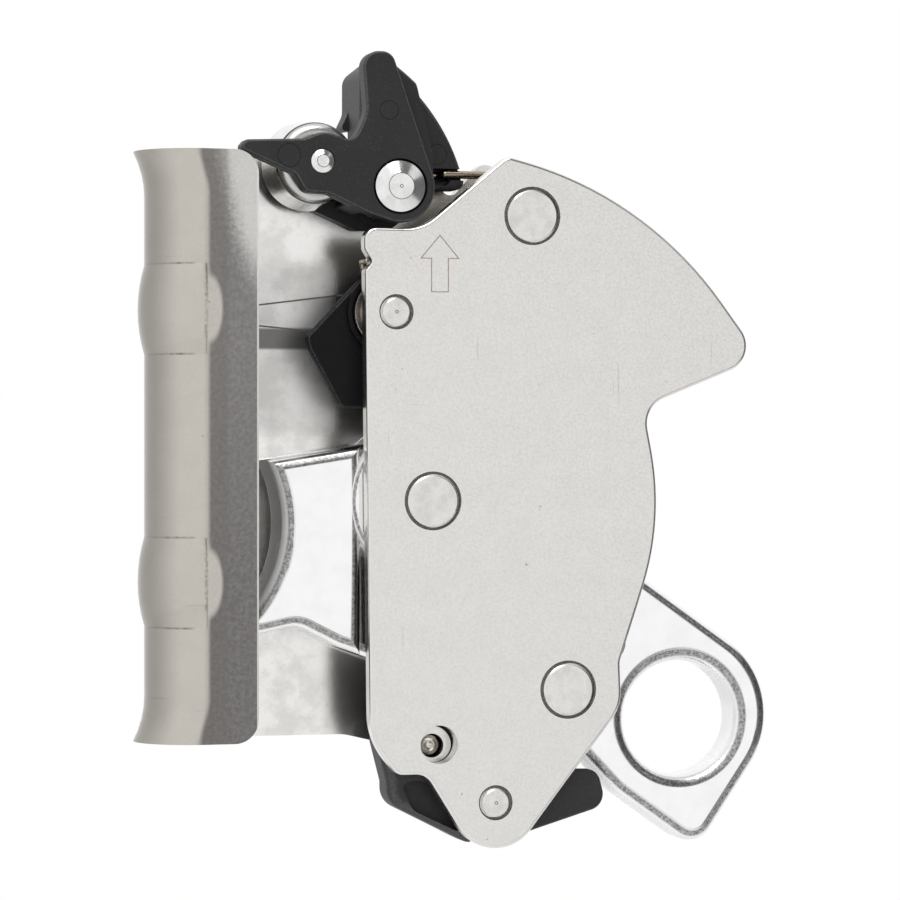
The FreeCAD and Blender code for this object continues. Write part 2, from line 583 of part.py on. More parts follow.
GATE_OUTLINE = (
    (26.0, 27.6, 4.0), (16.6, 17.7, 0.9), (17.0, 15.8, 0.6), (22.3, 6.2, 1.6), (33.0, 5.8, 3.0),
    (35.4, 20.0, 5.0), (31.8, 27.5, 5.0),
)


def rope_gate():
    gate = slab(GATE_OUTLINE, GATE_FRONT, GATE_BACK)
    gate = rounded_rims(gate, 0.5, (GATE_FRONT, GATE_BACK))
    gate = gate.fuse(disc(GATE_PIVOT, GATE_HUB, GATE_FRONT + 0.5, GATE_HUB_BACK))
    inside = GATE_WASHER + SIDE
    gate = gate.fuse(tube(GATE_PIVOT, inside + GATE_COLLAR, inside,
                          GATE_FRONT - GATE_COLLAR_HEIGHT, GATE_BACK - 0.5))
    return gate.cut(disc(GATE_PIVOT, GATE_SHOULDER + RUNNING, -THROUGH, THROUGH))


def gate_washer():
    front = GATE_FRONT - SIDE - GATE_WASHER_THICK
    bore = GATE_SHOULDER + SEAT
    return turned(GATE_PIVOT, [
        (bore, front), (GATE_WASHER - 0.3, front), (GATE_WASHER, front + 0.3),
        (GATE_WASHER, front + GATE_WASHER_THICK), (bore, front + GATE_WASHER_THICK)])


def gate_spring():
    start = -GAP_HALF + 0.1
    angle = 150
    wound = coil(GATE_PIVOT, GATE_SPRING_RADIUS, GATE_SPRING_WIRE, start, start + 1.7)
    depth = start + GATE_SPRING_WIRE / 2
    hook = GATE_SPRING_HOOK
    left = polar(GATE_PIVOT, GATE_SPRING_RADIUS, angle)
    leg = wire_rod([point(left[0], left[1], depth), point(hook[0], hook[1], depth),
                    point(hook[0], hook[1], -OUTER + 0.3)], GATE_SPRING_WIRE)
    return wound.fuse(leg)


# ---- release rocker ----
ROCKER_HALF = 5.9           # half length of the hub
ROCKER_HUB = 4.2
ROCKER_ARM_FRONT = -5.6
ROCKER_ARM_BACK = 0.6
ROCKER_ROUND = 2.0
ROCKER_BOSS = 4.2           # the boss behind the arm that holds the detent
ROCKER_BOSS_BACK = 5.2
ROCKER_FLOOR = -3.0         # depth of the finger tray's floor
THUMB_FRONT = -6.0
THUMB_BACK = -4.6
ROCKER_SHOULDER = SMALL_SHANK + 0.3
ROCKER_SPRING_RADIUS = 3.1
ROCKER_SPRING_WIRE = 0.6
DETENT_PIN = 1.9
DETENT_SLEEVE = 3.2
DETENT_BORE = 2.6
DETENT_TIP = -5.2
DETENT_SPRING_WIRE = 0.5

ROCKER_ARM = (
    (27.5, -46.4, 2.2), (32.0, -44.6, 2.5), (40.9, -43.6, 3.0), (41.6, -52.4, 3.0), (49.0, -55.0, 2.3),
    (48.6, -62.0, 2.3), (43.6, -64.85, 2.2), (29.6, -57.75, 3.6), (29.6, -54.6, 2.0),
)
ROCKER_TRAY = (
    (31.7, -54.7, 0.8), (34.0, -54.1, 1.0), (41.2, -55.4, 1.5), (42.4, -63.2, 1.0), (33.5, -58.9, 3.2),
)
ROCKER_THUMB = (
    (45.0, -52.6, 2.0), (64.9, -52.9, 2.6), (66.45, -58.85, 2.7), (53.0, -62.9, 3.0), (44.0, -61.6, 2.0),
)


def release_rocker():
    rocker = disc(ROCKER_PIVOT, ROCKER_HUB, -ROCKER_HALF, ROCKER_HALF)
    arm = slab(ROCKER_ARM, ROCKER_ARM_FRONT, ROCKER_ARM_BACK)
    arm = rounded_rims(arm, ROCKER_ROUND, (ROCKER_ARM_FRONT,))
    arm = arm.fuse(disc(DETENT, ROCKER_BOSS, ROCKER_ARM_BACK - 1, ROCKER_BOSS_BACK))
    arm = arm.cut(slab(ROCKER_TRAY, ROCKER_ARM_FRONT - 1, ROCKER_FLOOR))
    heel = slab([(43.6, -50, 0), (60, -50, 0), (60, -70, 0), (43.6, -70, 0)], THUMB_BACK, THROUGH)
    arm = arm.cut(heel)
    thumb = slab(ROCKER_THUMB, THUMB_FRONT, THUMB_BACK)
    rocker = rocker.fuse(arm).fuse(rounded_rims(thumb, 0.4, (THUMB_FRONT, THUMB_BACK)))
    rocker = rocker.cut(disc(ROCKER_PIVOT, ROCKER_SHOULDER + RUNNING, -THROUGH, THROUGH))
    rocker = rocker.cut(tube(ROCKER_PIVOT, ROCKER_SPRING_RADIUS + 0.5, ROCKER_SPRING_RADIUS - 0.5,
                             ROCKER_HALF - 2.0, ROCKER_HALF + 1))
    rocker = rocker.cut(disc(DETENT, DETENT_SLEEVE + SEAT, -THROUGH, -1.0))
    rocker = rocker.cut(disc(DETENT, DETENT_PIN + RUNNING, -THROUGH, THROUGH))
    return rocker.cut(disc(DETENT, DETENT_BORE + RUNNING, 0.5, THROUGH))


def detent_collar():
    return tube(DETENT, DETENT_SLEEVE, DETENT_PIN + RUNNING, ROCKER_ARM_FRONT - 0.3, -1.0 - SEAT)


def detent_plunger():
    """A domed pin with a collar behind it that the spring pushes forward."""
    dome_start = DETENT_TIP + DETENT_PIN
    slope = DETENT_PIN * math.sin(math.radians(45))
    edges = [
        Part.Arc(V(0, DETENT_TIP, 0), V(slope, dome_start - slope, 0),
                 V(DETENT_PIN, dome_start, 0)).toShape()]
    path = [V(DETENT_PIN, dome_start, 0), V(DETENT_PIN, 0.5 + SEAT, 0), V(DETENT_BORE, 0.5 + SEAT, 0),
            V(DETENT_BORE, 1.3, 0), V(0, 1.3, 0), V(0, DETENT_TIP, 0)]
    edges += [Part.LineSegment(a, b).toShape() for a, b in zip(path, path[1:])]
    plunger = Part.Face(Part.Wire(edges)).revolve(V(0, 0, 0), ALONG_Y, 360)
    plunger.translate(point(*DETENT))
    return plunger


def detent_spring():
    return coil(DETENT, DETENT_BORE - 0.4, DETENT_SPRING_WIRE, 1.3 + SEAT, GAP_HALF - 0.2)


def rocker_spring():
    return coil(ROCKER_PIVOT, ROCKER_SPRING_RADIUS, ROCKER_SPRING_WIRE, ROCKER_HALF - 1.95, ROCKER_HALF)


def plate_spacers():
    half = GAP_HALF - SEAT
    return Part.makeCompound([tube(centre, SPACER_RADIUS, LARGE_SHANK + SEAT, -half, half)
                              for centre in (UPPER_RIVET, STOP_RIVET)])


PIECES = {
    "rear_body": rear_body,
    "front_plate": front_plate,
    "plate_spacers": plate_spacers,
    "cam_lever": cam_lever,
    "cam_bush": cam_bush,
    "cam_spring": cam_spring,
    "roller_lever": roller_lever,
    "lever_pivot_pin": lever_pivot_pin,
    "rope_roller": rope_roller,
    "roller_axle": roller_axle,
    "safety_catch": safety_catch,
    "catch_spring": catch_spring,
    "rope_gate": rope_gate,
    "gate_washer": gate_washer,
    "gate_spring": gate_spring,
    "release_rocker": release_rocker,
    "rocker_spring": rocker_spring,
    "detent_plunger": detent_plunger,
    "detent_collar": detent_collar,
    "detent_spring": detent_spring,
}

os.makedirs("parts", exist_ok=True)
for name, make in PIECES.items():
    make().exportStep("parts/" + name + ".step")
for name, (centres, head, shank, shoulder) in RIVETS.items():
    rivets = [rivet(centre, head, shank, shoulder) for centre in centres]
    Part.makeCompound(rivets).exportStep("parts/" + name + ".step")
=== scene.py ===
import math
import bpy
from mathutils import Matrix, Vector


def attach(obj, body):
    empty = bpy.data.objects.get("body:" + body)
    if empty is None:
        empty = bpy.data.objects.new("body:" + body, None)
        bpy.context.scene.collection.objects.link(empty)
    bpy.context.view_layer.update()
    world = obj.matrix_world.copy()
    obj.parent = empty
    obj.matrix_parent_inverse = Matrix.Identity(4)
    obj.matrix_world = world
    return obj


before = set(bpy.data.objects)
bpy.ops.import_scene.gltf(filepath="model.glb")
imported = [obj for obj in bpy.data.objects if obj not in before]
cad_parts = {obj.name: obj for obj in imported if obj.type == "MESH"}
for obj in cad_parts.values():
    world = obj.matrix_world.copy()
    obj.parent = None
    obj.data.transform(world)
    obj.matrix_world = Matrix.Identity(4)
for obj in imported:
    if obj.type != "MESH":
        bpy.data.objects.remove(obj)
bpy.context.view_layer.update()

MM = 0.001


def mm(*lengths):
    """Millimetres as Blender's metres."""
    return tuple(length * MM for length in lengths)


# ---- places and colours ----
# the photograph's view: degrees to the left of straight on, then millimetres
VIEW_TURN = 15.5
VIEW_DISTANCE = 600.0
VIEW_LENS = 146.4
VIEW_TARGET = (41.4, 0.0, -0.6)

# heights in millimetres between which the channel's two ring beads lie
BEADS = ((14.65, 29.05), (-28.9, -14.5))

# depths (y) in millimetres of the faces that marks lie on, and how far off its face a mark lies
PLATE_FACE = -9.3
RIVET_FACE = -9.65
AXLE_FACE = -9.6
PIN_FACE = -10.0
CATCH_FACE = -1.5
INNER_FACE = 6.3
MARK_LIFT = 0.012
CREASE_LIFT = 0.015
SEAM_SINK = 0.22

# sizes of the marks in millimetres
ARROW_LINE = 0.17
CREASE_LINE = 0.26
RING_LINE_HALF = 0.06
SEAM_EDGES = (0.1, 0.54)        # the groove's edges, outside the rivet's head
RING_SIDES = 64
SHARPEST_CORNER = 0.35          # keeps a line's corner from growing to a spike

# where the steel is worn: x across, y in depth, z up, and each pair is one soft edge or one band
# painted shade: the front plate's side that faces the other plate is darkened
INNER_SHADE_Y = mm(-6.8, -6.4)    # behind it lies the front plate's side that faces the other plate
CHANNEL_X = mm(1.8, 2.8)        # left of it lies the channel
FLANGE_FRONT_Y = mm(-8.4, -7.0)
BEND_X = mm(-1.3, -0.3)         # the flange's bend, its move aside at the flared ends, its free edge
FLARE_Z = mm(40.0, 47.5)
FLARE_SHIFT = 1.4 * MM
# painted highlight: the flange's free edge is left light
FREE_EDGE_HIGHLIGHT_X = mm(6.95, 7.05)
FLANGE_FADE_Z = mm(-30.0, 22.0)
WEDGE_X = mm(9.8, 16.0)         # the light wedge at the flange's top, its slope and its ragged edge
WEDGE_Z = mm(18.0, 36.0)
WEDGE_SLOPE = 0.22
WEDGE_RAGGED = 3.0 * MM
# painted highlight: a light oval where each bead runs onto the flange, with a painted shade line at
# its left edge
OVAL_LEFT = 0.9 * MM            # the light oval at each bead: its middle, half width and half height
OVAL_WIDE = 2.2 * MM
OVAL_HIGH = 5.5 * MM
OVAL_SHADE_X = mm(-1.5, -1.3)
OVAL_SHADE_SOFT = 0.3 * MM
# painted shade: a dark line across the channel at each end of a bead
CREASE_START_X = mm(-10.0, -4.5)    # the dark line at each end of a bead, and its half width
CREASE_END_X = mm(-3.6, -2.6)
CREASE_END_Y = mm(0.0, 1.0)
CREASE_HALF = mm(0.08, 0.24)
LEVEL_X = mm(-0.8, 6.2)         # the part of the flange that is kept flat
LEVEL_SOFT = 0.8 * MM
INSIDE_X = mm(6.0, 9.0)         # the rear plate's inner face
INSIDE_Y = mm(6.1, 6.8)
INSIDE_SOFT = 0.6 * MM
BESIDE_GATE_X = mm(10.0, 22.0)
BESIDE_GATE_X_SOFT = 3.0 * MM
BESIDE_GATE_Z = mm(4.0, 28.0)
BESIDE_GATE_Z_SOFT = 4.0 * MM
# painted shade: a dark band in the hollow of the upper bead
HOLLOW_X = mm(20.0, 22.0)       # the dark band in the hollow of the upper bead
HOLLOW_Z = mm(16.2, 19.0)
HOLLOW_SOFT = 0.6 * MM
GROOVE_HALF = mm(0.14, 0.22)
SHOULDER_SOFT = 0.2 * MM

# colours, as linear red, green and blue
GRAIN_TINT = (0.40, 0.38, 0.35)
PIT_DARK = (0.20, 0.17, 0.14)
SCRATCH_DARK = (0.30, 0.27, 0.24)
PAINTED_INNER_SHADE = (0.52, 0.50, 0.47)
CHANNEL_TINT = (0.725, 0.70, 0.66)
OVAL_SHADE_LINE = (0.16, 0.15, 0.145)
RUBBED_DARK = (0.158, 0.150, 0.146)
PAINTED_CREASE_SHADE = (0.12, 0.115, 0.11)
INSIDE_PALE = (0.86, 0.85, 0.83)
INSIDE_STAIN = (0.50, 0.485, 0.465)
INSIDE_STREAK = (0.36, 0.34, 0.32)
PAINTED_HOLLOW_SHADE = (0.12, 0.12, 0.118)
PAINTED_GROOVE_SHADE = (0.05, 0.048, 0.045)
SHOULDER_GREY = (0.40, 0.39, 0.37)
ALUMINIUM_PALE = (0.93, 0.93, 0.93)
ALUMINIUM_SHADE = (0.90, 0.90, 0.90)
ALUMINIUM_EDGE_SHADE = (0.20, 0.197, 0.193)
ALUMINIUM_PIT = (0.45, 0.44, 0.42)
NYLON = (0.0135, 0.0135, 0.0145)
NYLON_FLECK = (0.085, 0.085, 0.085)
NYLON_RIM_HIGHLIGHT = (0.13, 0.13, 0.13)
FLOOR_SHADE = (0.86, 0.86, 0.86)
FLOOR_PALE = (0.90, 0.90, 0.90)
WHITE = (1.0, 1.0, 1.0, 1.0)

# the scratches' two directions: how fine they are along x, y and z, and their turn in radians
SCRATCHES = (((60.0, 60.0, 1500.0), 0.5), ((1400.0, 60.0, 50.0), 0.25))


# ---- node helpers ----
def new_material(name):
    mat = bpy.data.materials.new(name)
    mat.use_nodes = True
    mat.node_tree.nodes.clear()
    return mat, mat.node_tree


def node(tree, kind, **values):
    made = tree.nodes.new(kind)
    for key, value in values.items():
        setattr(made, key, value)
    return made


def link(tree, source, target):
    tree.links.new(source, target)


def object_space(tree):
    return node(tree, "ShaderNodeTexCoord").outputs["Object"]


def split(tree, output):
    """X, Y and Z of an object-space place ("Object") or surface direction ("Normal")."""
    made = node(tree, "ShaderNodeSeparateXYZ")
    link(tree, node(tree, "ShaderNodeTexCoord").outputs[output], made.inputs["Vector"])
    return made.outputs["X"], made.outputs["Y"], made.outputs["Z"]


def noise(tree, coords, scale, detail=3.0, rough=0.55):
    made = node(tree, "ShaderNodeTexNoise")
    made.inputs["Scale"].default_value = scale
    made.inputs["Detail"].default_value = detail
    made.inputs["Roughness"].default_value = rough
    link(tree, coords, made.inputs["Vector"])
    return made.outputs["Fac"]


def stretched(tree, coords, scale, turn):
    made = node(tree, "ShaderNodeMapping")
    made.inputs["Scale"].default_value = scale
    made.inputs["Rotation"].default_value = (0.0, turn, 0.0)
    link(tree, coords, made.inputs["Vector"])
    return made.outputs["Vector"]


def remap(tree, value, span, start, end):
    """A smooth step from start to end while the value goes through the span."""
    made = node(tree, "ShaderNodeMapRange", interpolation_type="SMOOTHSTEP")
    names = ("From Min", "From Max", "To Min", "To Max")
    for name, number in zip(names, (*span, start, end)):
        made.inputs[name].default_value = number
    link(tree, value, made.inputs["Value"])
    return made.outputs["Result"]


def rise(tree, value, span, top=1.0):
    return remap(tree, value, span, 0.0, top)


def fall(tree, value, span, top=1.0):
    return remap(tree, value, span, top, 0.0)


def between(tree, value, span, soft):
    """1 inside the span, falling to 0 over the soft margin outside it."""
    low, high = span
    return product(tree, rise(tree, value, (low - soft, low)),
                   fall(tree, value, (high, high + soft)))


def math_node(tree, operation, a, b=0.0):
    made = node(tree, "ShaderNodeMath", operation=operation)
    for socket, value in zip(made.inputs, (a, b)):
        if isinstance(value, (int, float)):
            socket.default_value = value
        else:
            link(tree, value, socket)
    return made.outputs[0]


def chained(tree, operation, first, *others):
    for other in others:
        first = math_node(tree, operation, first, other)
    return first


def product(tree, *factors):
    return chained(tree, "MULTIPLY", *factors)


def added(tree, *terms):
    return chained(tree, "ADD", *terms)


def inverse(tree, value):
    """0 where the value is 1, and 1 where it is 0."""
    return math_node(tree, "SUBTRACT", 1.0, value)


def away_from(tree, value, place):
    return math_node(tree, "ABSOLUTE", math_node(tree, "SUBTRACT", value, place))


def mixed(tree, factor, a, b, mode="MIX"):
    made = node(tree, "ShaderNodeMix", data_type="RGBA", blend_type=mode)
    for name, value in (("Factor", factor), ("A", a), ("B", b)):
        if isinstance(value, (int, float)):
            made.inputs[name].default_value = value
        elif isinstance(value, tuple):
            made.inputs[name].default_value = value + (1.0,)
        else:
            link(tree, value, made.inputs[name])
    return made.outputs["Result"]


def shader(tree, metallic, ior_level=0.5):
    bsdf = node(tree, "ShaderNodeBsdfPrincipled")
    bsdf.inputs["Metallic"].default_value = metallic
    bsdf.inputs["Specular IOR Level"].default_value = ior_level
    out = node(tree, "ShaderNodeOutputMaterial")
    link(tree, bsdf.outputs["BSDF"], out.inputs["Surface"])
    return bsdf


def bump(tree, bsdf, height, distance, strength):
    made = node(tree, "ShaderNodeBump")
    made.inputs["Distance"].default_value = distance
    made.inputs["Strength"].default_value = strength
    link(tree, height, made.inputs["Height"])
    link(tree, made.outputs["Normal"], bsdf.inputs["Normal"])


def paint(tree, bsdf, colour, roughness):
    link(tree, colour, bsdf.inputs["Base Color"])
    link(tree, roughness, bsdf.inputs["Roughness"])


# ---- materials ----
def sheet_steel(name, base, shade, rough, wear_and_shade=False):
    """Satin stainless sheet with mottling, pits and faint scratches. With the flag set it adds the
    formed body's own wear with painted shade and highlights; without it the side that faces the other
    plate is painted darker, as painted shade between the plates."""
    mat, tree = new_material(name)
    bsdf = shader(tree, metallic=1.0)
    coords = object_space(tree)
    cloud = noise(tree, coords, scale=210.0, detail=5.0, rough=0.6)
    grain = noise(tree, coords, scale=2600.0, detail=3.0, rough=0.6)
    pits = noise(tree, coords, scale=900.0, detail=2.0, rough=0.5)
    colour = mixed(tree, rise(tree, cloud, (0.35, 0.68)), base, shade)
    colour = mixed(tree, rise(tree, grain, (0.35, 0.75), top=0.05), colour, GRAIN_TINT)
    colour = mixed(tree, rise(tree, pits, (0.76, 0.82), top=0.5), colour, PIT_DARK)
    for fineness, turn in SCRATCHES:
        scratch = noise(tree, stretched(tree, coords, fineness, turn), scale=1.0, detail=2.0)
        colour = mixed(tree, rise(tree, scratch, (0.73, 0.78), top=0.22), colour, SCRATCH_DARK)
    roughness = remap(tree, grain, (0.3, 0.7), rough - 0.04, rough + 0.05)
    bump(tree, bsdf, grain, distance=0.000004, strength=0.6)
    if wear_and_shade:
        colour, roughness = worn_body(tree, bsdf, colour, roughness)
    else:
        # painted shade: darker on the side that faces the other plate
        depth = split(tree, "Object")[1]
        colour = mixed(tree, rise(tree, depth, INNER_SHADE_Y), colour, PAINTED_INNER_SHADE)
    paint(tree, bsdf, colour, roughness)
    return mat


def worn_body(tree, bsdf, colour, roughness):
    """The formed body's own wear with painted shade and highlights: a channel with painted shade
    where it faces left, a dark rubbed flange with painted highlights beside the beads and along its
    free edge, painted shade at the beads' creases and a duller inside of the rear plate with painted
    shade in the upper bead's hollow."""
    streaks = noise(tree, object_space(tree), scale=1400.0, detail=4.0, rough=0.7)
    x, y, z = split(tree, "Object")
    front = fall(tree, y, FLANGE_FRONT_Y)
    colour = shaded_channel(tree, colour, x)
    colour = rubbed_flange(tree, colour, front, streaks, x, z)
    colour = bead_crease_shade(tree, colour, x, y, z)
    colour, roughness = dull_inside(tree, colour, roughness, streaks, x, y, z)
    level_flange(tree, bsdf, front, x)
    return colour, roughness


def shaded_channel(tree, colour, x):
    """The channel's outside is warmer, and painted darker where it faces left, as painted shade."""
    facing_x, facing_y, _ = split(tree, "Normal")
    outside = product(tree, fall(tree, facing_y, (0.0, 0.3)), fall(tree, x, CHANNEL_X))
    colour = mixed(tree, outside, colour, CHANNEL_TINT, "MULTIPLY")
    # painted shade: the faces that look left are darkened
    return mixed(tree, 1.0, colour, remap(tree, facing_x, (-0.99, -0.50), 0.55, 1.0), "MULTIPLY")


def rubbed_flange(tree, colour, front, streaks, x, z):
    """The flange is rubbed dark from its bend on, apart from a light wedge at its top. It has a
    painted highlight oval beside each bead, with a painted shade line at the oval's left edge, and a
    painted highlight along its free edge."""
    bend = added(tree, x, rise(tree, math_node(tree, "ABSOLUTE", z), FLARE_Z, top=FLARE_SHIFT))
    flange = product(tree, front, rise(tree, bend, BEND_X))
    slant = added(tree, x, product(tree, z, WEDGE_SLOPE), product(tree, streaks, WEDGE_RAGGED))
    wedge = product(tree, rise(tree, slant, WEDGE_X), rise(tree, z, WEDGE_Z))
    wear_and_highlight = product(tree, flange, remap(tree, wedge, (0.0, 1.0), 1.0, 0.24),
                     remap(tree, z, FLANGE_FADE_Z, 1.0, 0.92))
    for low, high in BEADS:
        # painted highlight: the rubbed dark is taken away inside the oval
        away = math_node(tree, "SUBTRACT", z, (low + high) / 2 * MM)
        beyond = added(tree, x, OVAL_LEFT)
        highlight_oval = added(tree, product(tree, beyond, beyond, 1 / OVAL_WIDE ** 2),
                     product(tree, away, away, 1 / OVAL_HIGH ** 2))
        wear_and_highlight = product(tree, wear_and_highlight, rise(tree, highlight_oval, (0.60, 1.25)))
        # painted shade: a dark line at the oval's left edge
        edge = product(tree, between(tree, x, OVAL_SHADE_X, OVAL_SHADE_SOFT),
                       fall(tree, highlight_oval, (0.5, 1.0), top=0.5),
                       remap(tree, streaks, (0.40, 0.58), 1.0, 0.1), front)
        colour = mixed(tree, edge, colour, OVAL_SHADE_LINE)
    # painted highlight: the rubbed dark is taken away along the free edge
    wear_and_highlight = product(tree, wear_and_highlight, remap(tree, x, FREE_EDGE_HIGHLIGHT_X, 1.0, 0.2),
                     remap(tree, streaks, (0.35, 0.68), 1.0, 0.90))
    return mixed(tree, wear_and_highlight, colour, RUBBED_DARK)


def bead_crease_shade(tree, colour, x, y, z):
    """A broken line of painted shade across the channel's front at both ends of each bead."""
    flecks = noise(tree, object_space(tree), scale=900.0, detail=3.0, rough=0.6)
    across = product(tree, remap(tree, x, CREASE_START_X, 0.25, 0.85), fall(tree, x, CREASE_END_X),
                     remap(tree, flecks, (0.36, 0.64), 0.95, 0.40), fall(tree, y, CREASE_END_Y))
    for height in BEADS[0] + BEADS[1]:
        line = fall(tree, away_from(tree, z, height * MM), CREASE_HALF)
        # painted shade along each crease
        colour = mixed(tree, product(tree, line, across), colour, PAINTED_CREASE_SHADE)
    return colour


def dull_inside(tree, colour, roughness, streaks, x, y, z):
    """The rear plate's inner face has an even roughness, stains, streaks and a band of painted shade
    in the upper bead's hollow, and it is rougher beside the gate."""
    stain = noise(tree, object_space(tree), scale=110.0, detail=5.0, rough=0.65)
    inside = product(tree, rise(tree, x, INSIDE_X), between(tree, y, INSIDE_Y, INSIDE_SOFT))
    beside_gate = product(tree, inside, between(tree, x, BESIDE_GATE_X, BESIDE_GATE_X_SOFT),
                          between(tree, z, BESIDE_GATE_Z, BESIDE_GATE_Z_SOFT))
    even = added(tree, product(tree, inside, 0.20), product(tree, beside_gate, 0.18))
    roughness = added(tree, product(tree, roughness, inverse(tree, inside)), even)
    stained = product(tree, inside, fall(tree, stain, (0.36, 0.54), top=0.40))
    streaked = product(tree, inside, rise(tree, streaks, (0.58, 0.70), top=0.20))
    # painted shade in the upper bead's hollow
    hollow = product(tree, inside, between(tree, z, HOLLOW_Z, HOLLOW_SOFT),
                     fall(tree, x, HOLLOW_X, top=0.85))
    for amount, tint in ((inside, INSIDE_PALE), (stained, INSIDE_STAIN), (streaked, INSIDE_STREAK),
                         (hollow, PAINTED_HOLLOW_SHADE)):
        colour = mixed(tree, amount, colour, tint)
    return colour, roughness


def level_flange(tree, bsdf, front, x):
    """The flange's face is flat past its bend, also where the beads run out on it."""
    level = node(tree, "ShaderNodeVectorTransform", vector_type="NORMAL", convert_from="OBJECT",
                 convert_to="WORLD")
    level.inputs["Vector"].default_value = (0.0, -1.0, 0.0)
    blend = node(tree, "ShaderNodeMix", data_type="VECTOR")
    # a Mix node's vectors are its inputs 4 and 5 and its output 1
    amount = product(tree, front, between(tree, x, LEVEL_X, LEVEL_SOFT), 0.9)
    link(tree, amount, blend.inputs["Factor"])
    link(tree, bsdf.inputs["Normal"].links[0].from_socket, blend.inputs[4])
    link(tree, level.outputs["Vector"], blend.inputs[5])
    link(tree, blend.outputs[1], bsdf.inputs["Normal"])


def turned_steel(name, base, rough, groove=None):
    """Machined or polished steel with a little unevenness in its gloss. groove is the depth in
    millimetres of a line of painted shade in the groove, which has a duller shoulder in front of it."""
    mat, tree = new_material(name)
    bsdf = shader(tree, metallic=1.0)
    coords = object_space(tree)
    cloud = noise(tree, coords, scale=420.0, detail=4.0)
    fine = noise(tree, coords, scale=3200.0, detail=2.0)
    shade = tuple(0.86 * part for part in base)
    colour = mixed(tree, rise(tree, cloud, (0.35, 0.70)), base, shade)
    colour = mixed(tree, rise(tree, fine, (0.62, 0.75), top=0.25), colour, SCRATCH_DARK)
    roughness = remap(tree, fine, (0.3, 0.7), rough, rough + 0.06)
    if groove is not None:
        place = groove * MM
        depth = split(tree, "Object")[1]
        # painted shade: a dark line at the groove
        line = fall(tree, away_from(tree, depth, place), GROOVE_HALF, top=0.9)
        shoulder = fall(tree, depth, (place - SHOULDER_SOFT, place))
        colour = mixed(tree, line, colour, PAINTED_GROOVE_SHADE)
        colour = mixed(tree, product(tree, shoulder, 0.55), colour, SHOULDER_GREY)
        roughness = added(tree, roughness, product(tree, shoulder, 0.20))
    paint(tree, bsdf, colour, roughness)
    bump(tree, bsdf, fine, distance=0.000003, strength=0.5)
    return mat


def polished_aluminium(name):
    """Polished forging, duller round its edges with painted shade on them, and dull where it faces
    the rope.
    """
    mat, tree = new_material(name)
    bsdf = shader(tree, metallic=1.0)
    coords = object_space(tree)
    cloud = noise(tree, coords, scale=320.0, detail=4.0)
    pits = noise(tree, coords, scale=1500.0, detail=2.0)
    grain = noise(tree, coords, scale=2400.0, detail=3.0, rough=0.65)
    facing_x, facing_y, _ = split(tree, "Normal")
    flat = math_node(tree, "ABSOLUTE", facing_y)
    rounded = product(tree, rise(tree, flat, (0.70, 0.84)), fall(tree, flat, (0.975, 0.994)))
    toward_rope = fall(tree, facing_x, (-0.75, -0.30))
    # painted shade: the rounded edges are darkened, flecked by the grain
    wear_and_shade = product(tree, rounded, remap(tree, grain, (0.36, 0.64), 1.0, 0.62))
    colour = mixed(tree, rise(tree, cloud, (0.35, 0.70)), ALUMINIUM_PALE, ALUMINIUM_SHADE)
    colour = mixed(tree, wear_and_shade, colour, ALUMINIUM_EDGE_SHADE)
    colour = mixed(tree, rise(tree, pits, (0.77, 0.82), top=0.4), colour, ALUMINIUM_PIT)
    roughness = added(tree, remap(tree, cloud, (0.3, 0.7), 0.10, 0.15),
                      product(tree, rounded, 0.22), product(tree, toward_rope, 0.2))
    paint(tree, bsdf, colour, roughness)
    link(tree, remap(tree, toward_rope, (0.0, 1.0), 1.0, 0.35), bsdf.inputs["Metallic"])
    bump(tree, bsdf, cloud, distance=0.00003, strength=0.25)
    return mat


def black_plastic(name, base=NYLON, gloss=0.42, fleck=0.6, wear_and_highlight=0.6):
    """Fine-grained moulded nylon, with a flecked painted highlight on its rounded edges."""
    mat, tree = new_material(name)
    bsdf = shader(tree, metallic=0.0, ior_level=gloss)
    coords = object_space(tree)
    grain = noise(tree, coords, scale=3600.0, detail=3.0, rough=0.6)
    cloud = noise(tree, coords, scale=150.0, detail=3.0)
    shade = tuple(1.25 * part for part in base)
    flat = math_node(tree, "ABSOLUTE", split(tree, "Normal")[1])
    # painted highlight: the rounded edges are made paler, flecked by the grain
    rim_highlight = product(tree, rise(tree, flat, (0.45, 0.75)), fall(tree, flat, (0.90, 0.985)),
                  remap(tree, grain, (0.35, 0.62), 0.10, 0.75), wear_and_highlight)
    colour = mixed(tree, rise(tree, cloud, (0.35, 0.7)), base, shade)
    colour = mixed(tree, rise(tree, grain, (0.60, 0.74), top=fleck), colour, NYLON_FLECK)
    colour = mixed(tree, rim_highlight, colour, NYLON_RIM_HIGHLIGHT)
    paint(tree, bsdf, colour, remap(tree, grain, (0.3, 0.7), 0.46, 0.58))
    bump(tree, bsdf, grain, distance=0.00002, strength=0.45)
    return mat


def marking_ink(name, dark, pale):
    """A flecked thin mark: a burnt line, a moulded ring, or painted shade in a groove, crease or
    dimple or at the edge of a small flat.
    """
    mat, tree = new_material(name)
    bsdf = shader(tree, metallic=0.2, ior_level=0.3)
    fleck = noise(tree, object_space(tree), scale=5200.0, detail=3.0)
    link(tree, mixed(tree, rise(tree, fleck, (0.35, 0.65)), dark, pale), bsdf.inputs["Base Color"])
    bsdf.inputs["Roughness"].default_value = 0.6
    return mat


